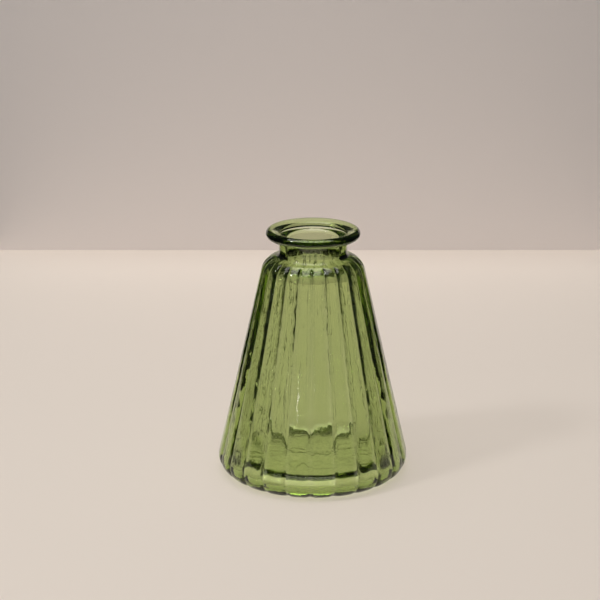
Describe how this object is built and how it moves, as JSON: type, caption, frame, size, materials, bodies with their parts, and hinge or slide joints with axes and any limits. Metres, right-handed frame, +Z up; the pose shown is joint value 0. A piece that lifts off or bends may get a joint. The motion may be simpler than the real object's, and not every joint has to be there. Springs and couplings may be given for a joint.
{
  "type": "bud vase",
  "caption": "Small conical bud vase in pale green moulded glass, ribbed from shoulder to heel, with a short neck and a rolled, flared lip.",
  "frame": {"origin": "centre of the standing ring, on the surface that the vase stands on", "axes": "+Z up the middle of the neck; a crease between two ribs lies on each of the X and Y axes"},
  "size_m": [0.0796, 0.0796, 0.105],
  "materials": {
    "green_glass": "fire-polished transparent glass, tinted yellow-green in the mass"
  },
  "bodies": {
    "root": {"glass_vase": "green_glass"}
  },
  "joints": []
}
